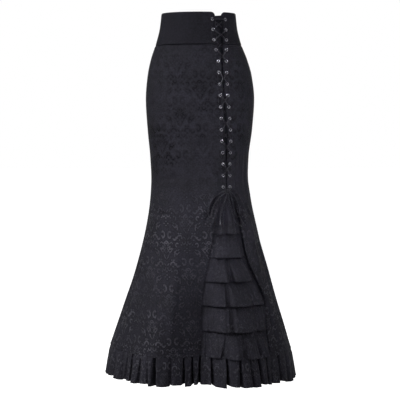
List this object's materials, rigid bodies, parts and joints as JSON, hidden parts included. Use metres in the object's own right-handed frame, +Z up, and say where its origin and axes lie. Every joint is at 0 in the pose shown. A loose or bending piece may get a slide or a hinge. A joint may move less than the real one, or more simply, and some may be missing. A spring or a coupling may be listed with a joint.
{
  "type": "mermaid fishtail skirt",
  "caption": "Floor-length fishtail skirt in black damask jacquard: high waistband, fitted hips, laced eyelet opening over a godet of flounces, and a gathered hem ruffle.",
  "frame": {"origin": "centre of the waistband, on the wearer's axis, at half the band's height", "axes": "+Z up, +X to the viewer's right (the wearer's left), -Y out of the front"},
  "size_m": [0.5765, 0.5339, 1.0835],
  "materials": {
    "jacquard": "black damask jacquard, low sheen with a slightly raised scroll and leaf pattern",
    "eyelet_metal": "polished nickel-plated brass",
    "satin_cord": "black satin rat-tail cord"
  },
  "bodies": {
    "root": {"waistband_front": "jacquard", "waistband_side_front": "jacquard", "waistband_back": "jacquard", "front_panel": "jacquard", "side_front_panel": "jacquard", "back_panel_left": "jacquard", "back_panel_right": "jacquard", "lacing_underlay": "jacquard", "godet_base": "jacquard", "tier_1": "jacquard", "tier_2": "jacquard", "tier_3": "jacquard", "tier_4": "jacquard", "tier_5": "jacquard", "tier_6": "jacquard", "hem_ruffle_front": "jacquard", "hem_ruffle_back_left": "jacquard", "hem_ruffle_back_right": "jacquard", "eyelet_left_01": "eyelet_metal", "eyelet_left_02": "eyelet_metal", "eyelet_left_03": "eyelet_metal", "eyelet_left_04": "eyelet_metal", "eyelet_left_05": "eyelet_metal", "eyelet_left_06": "eyelet_metal", "eyelet_left_07": "eyelet_metal", "eyelet_left_08": "eyelet_metal", "eyelet_left_09": "eyelet_metal", "eyelet_left_10": "eyelet_metal", "eyelet_left_11": "eyelet_metal", "eyelet_left_12": "eyelet_metal", "eyelet_left_13": "eyelet_metal", "eyelet_left_14": "eyelet_metal", "eyelet_left_15": "eyelet_metal", "eyelet_left_16": "eyelet_metal", "eyelet_right_01": "eyelet_metal", "eyelet_right_02": "eyelet_metal", "eyelet_right_03": "eyelet_metal", "eyelet_right_04": "eyelet_metal", "eyelet_right_05": "eyelet_metal", "eyelet_right_06": "eyelet_metal", "eyelet_right_07": "eyelet_metal", "eyelet_right_08": "eyelet_metal", "eyelet_right_09": "eyelet_metal", "eyelet_right_10": "eyelet_metal", "eyelet_right_11": "eyelet_metal", "eyelet_right_12": "eyelet_metal", "eyelet_right_13": "eyelet_metal", "eyelet_right_14": "eyelet_metal", "eyelet_right_15": "eyelet_metal", "eyelet_right_16": "eyelet_metal", "lace": "satin_cord", "bow_knot": "satin_cord", "bow_loop_left": "satin_cord", "bow_loop_right": "satin_cord", "lace_end_left": "satin_cord", "lace_end_right": "satin_cord", "aglet_left": "eyelet_metal", "aglet_right": "eyelet_metal"}
  },
  "joints": []
}
